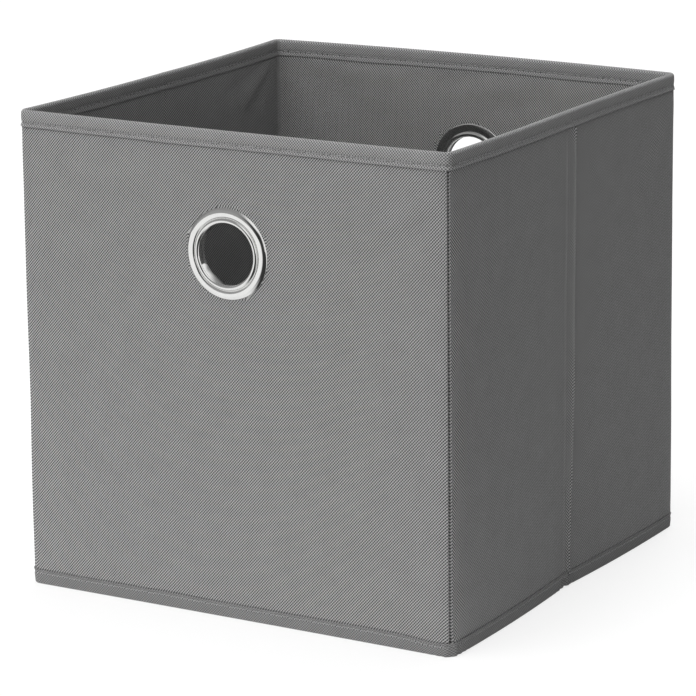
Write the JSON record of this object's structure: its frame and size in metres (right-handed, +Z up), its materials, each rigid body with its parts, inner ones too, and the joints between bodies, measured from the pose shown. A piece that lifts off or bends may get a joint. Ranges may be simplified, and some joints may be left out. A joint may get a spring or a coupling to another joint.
{
  "type": "storage box",
  "caption": "Open-topped folding storage box with card-stiffened cloth walls, a metal finger eyelet front and rear, creased side walls and a loose base insert.",
  "frame": {"origin": "centre of the footprint, at the lowest point of the floor cloth", "axes": "+Z up through the open top, the pictured eyelet wall faces -Y, the pictured side wall faces +X"},
  "size_m": [0.32, 0.3234, 0.322],
  "materials": {
    "cover": "grey non-woven cloth, fine embossed dot grid, matt",
    "lining": "grey non-woven cloth, fine embossed dot grid, matt",
    "tape": "grey folded binding tape, matt, stitched",
    "card": "grey-brown solid board, matt",
    "eyelet_metal": "polished"
  },
  "bodies": {
    "front_panel": {"corner_fold_front_left": "cover", "corner_fold_front_right": "cover", "floor_cloth": "cover", "front_board": "card", "front_cover": "cover", "front_eyelet": "eyelet_metal", "front_eyelet_washer": "eyelet_metal", "front_hem": "tape", "front_lining": "lining", "front_rim_tape": "tape"},
    "right_front_panel": {"crease_fold_right": "cover", "right_front_board": "card", "right_front_cover": "cover", "right_front_hem": "tape", "right_front_lining": "lining", "right_front_rim_tape": "tape"},
    "right_rear_panel": {"right_rear_board": "card", "right_rear_cover": "cover", "right_rear_hem": "tape", "right_rear_lining": "lining", "right_rear_rim_tape": "tape"},
    "rear_panel": {"corner_fold_rear_left": "cover", "corner_fold_rear_right": "cover", "rear_board": "card", "rear_cover": "cover", "rear_eyelet": "eyelet_metal", "rear_eyelet_washer": "eyelet_metal", "rear_hem": "tape", "rear_lining": "lining", "rear_rim_tape": "tape"},
    "left_front_panel": {"crease_fold_left": "cover", "left_front_board": "card", "left_front_cover": "cover", "left_front_hem": "tape", "left_front_lining": "lining", "left_front_rim_tape": "tape"},
    "left_rear_panel": {"left_rear_board": "card", "left_rear_cover": "cover", "left_rear_hem": "tape", "left_rear_lining": "lining", "left_rear_rim_tape": "tape"},
    "base_insert": {"insert_board": "card", "insert_wrap": "lining"}
  },
  "joints": [
    {"name": "front_right_fold", "type": "hinge", "parent": "front_panel", "child": "right_front_panel", "pos_m": [0.1579, -0.1534, 0.161], "axis": [0, 0, 1], "range_deg": [0, 88], "deforming": ["floor_cloth", "corner_fold_front_right", "right_front_hem"]},
    {"name": "right_crease_fold", "type": "hinge", "parent": "right_front_panel", "child": "right_rear_panel", "pos_m": [0.1603, 0, 0.161], "axis": [0, 0, 1], "range_deg": [-176, 0], "deforming": ["crease_fold_right", "right_rear_hem"]},
    {"name": "rear_right_fold", "type": "hinge", "parent": "right_rear_panel", "child": "rear_panel", "pos_m": [0.1579, 0.1534, 0.161], "axis": [0, 0, 1], "range_deg": [0, 88], "deforming": ["corner_fold_rear_right", "rear_hem"]},
    {"name": "front_left_fold", "type": "hinge", "parent": "front_panel", "child": "left_front_panel", "pos_m": [-0.1579, -0.1534, 0.161], "axis": [0, 0, 1], "range_deg": [-88, 0], "deforming": ["corner_fold_front_left", "left_front_hem"]},
    {"name": "left_crease_fold", "type": "hinge", "parent": "left_front_panel", "child": "left_rear_panel", "pos_m": [-0.1603, 0, 0.161], "axis": [0, 0, 1], "range_deg": [0, 176], "deforming": ["crease_fold_left", "corner_fold_rear_left", "left_rear_hem"]},
    {"name": "insert_lift", "type": "slide", "parent": "front_panel", "child": "base_insert", "axis": [0, 0, 1], "range_m": [0, 0.36]}
  ],
  "couplings": [
    {"joint": "right_crease_fold", "follows": "front_right_fold", "ratio": -2},
    {"joint": "rear_right_fold", "follows": "front_right_fold", "ratio": 1},
    {"joint": "front_left_fold", "follows": "front_right_fold", "ratio": -1},
    {"joint": "left_crease_fold", "follows": "front_right_fold", "ratio": 2}
  ]
}
